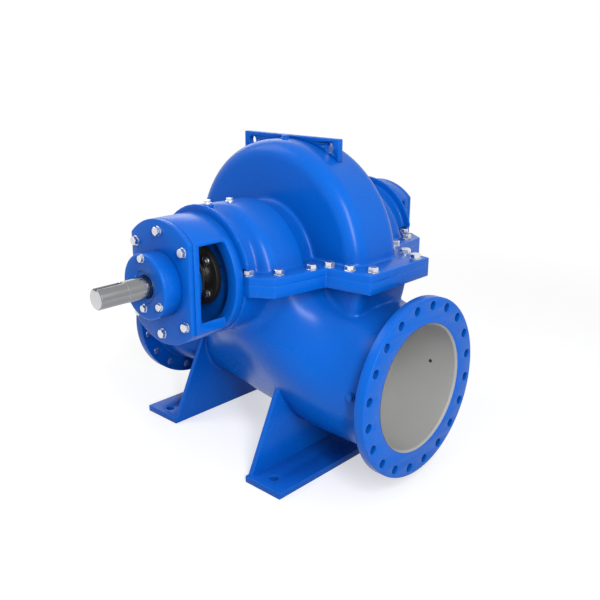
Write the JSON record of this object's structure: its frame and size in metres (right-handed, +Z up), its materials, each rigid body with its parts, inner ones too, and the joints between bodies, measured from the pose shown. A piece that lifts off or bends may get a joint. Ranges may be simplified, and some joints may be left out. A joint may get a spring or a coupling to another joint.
{
  "type": "split case pump",
  "caption": "Horizontal split case pump with side suction and discharge flanges, open bearing brackets, plate feet, a lifting plate and a bare shaft end.",
  "frame": {"origin": "on the floor under the middle of the overall size", "axes": "+X along the shaft away from the drive end, +Y from suction to discharge, +Z up"},
  "size_m": [1.605, 1.402, 1.327],
  "materials": {
    "casing_paint": "semi gloss blue enamel",
    "bracket_paint": "semi gloss blue enamel",
    "seal_black": "near black",
    "slinger_black": "matt",
    "shaft_steel": "ground and bright",
    "sleeve_steel": "ground",
    "plug_steel": "zinc plated"
  },
  "bodies": {
    "casing": {"lower_casing": "casing_paint", "upper_casing": "casing_paint", "lifting_plate": "casing_paint", "vent_plug": "plug_steel", "suction_plug": "casing_paint", "drive_flush_plug": "plug_steel", "drive_dome_plug": "plug_steel", "rear_flush_plug": "plug_steel", "rear_dome_plug": "plug_steel", "drive_bracket": "bracket_paint", "drive_housing": "bracket_paint", "drive_cover": "bracket_paint", "drive_inner_cover": "bracket_paint", "drive_gland": "seal_black", "rear_bracket": "bracket_paint", "rear_housing": "bracket_paint", "rear_cover": "bracket_paint", "rear_inner_cover": "bracket_paint", "rear_gland": "seal_black"},
    "rotor": {"shaft": "shaft_steel", "drive_sleeve": "sleeve_steel", "rear_sleeve": "sleeve_steel", "drive_slinger": "slinger_black", "rear_slinger": "slinger_black"}
  },
  "joints": [
    {"name": "rotor_spin", "type": "hinge", "parent": "casing", "child": "rotor", "pos_m": [0.1565, -0.027, 0.85], "axis": [1, 0, 0], "continuous": true}
  ]
}
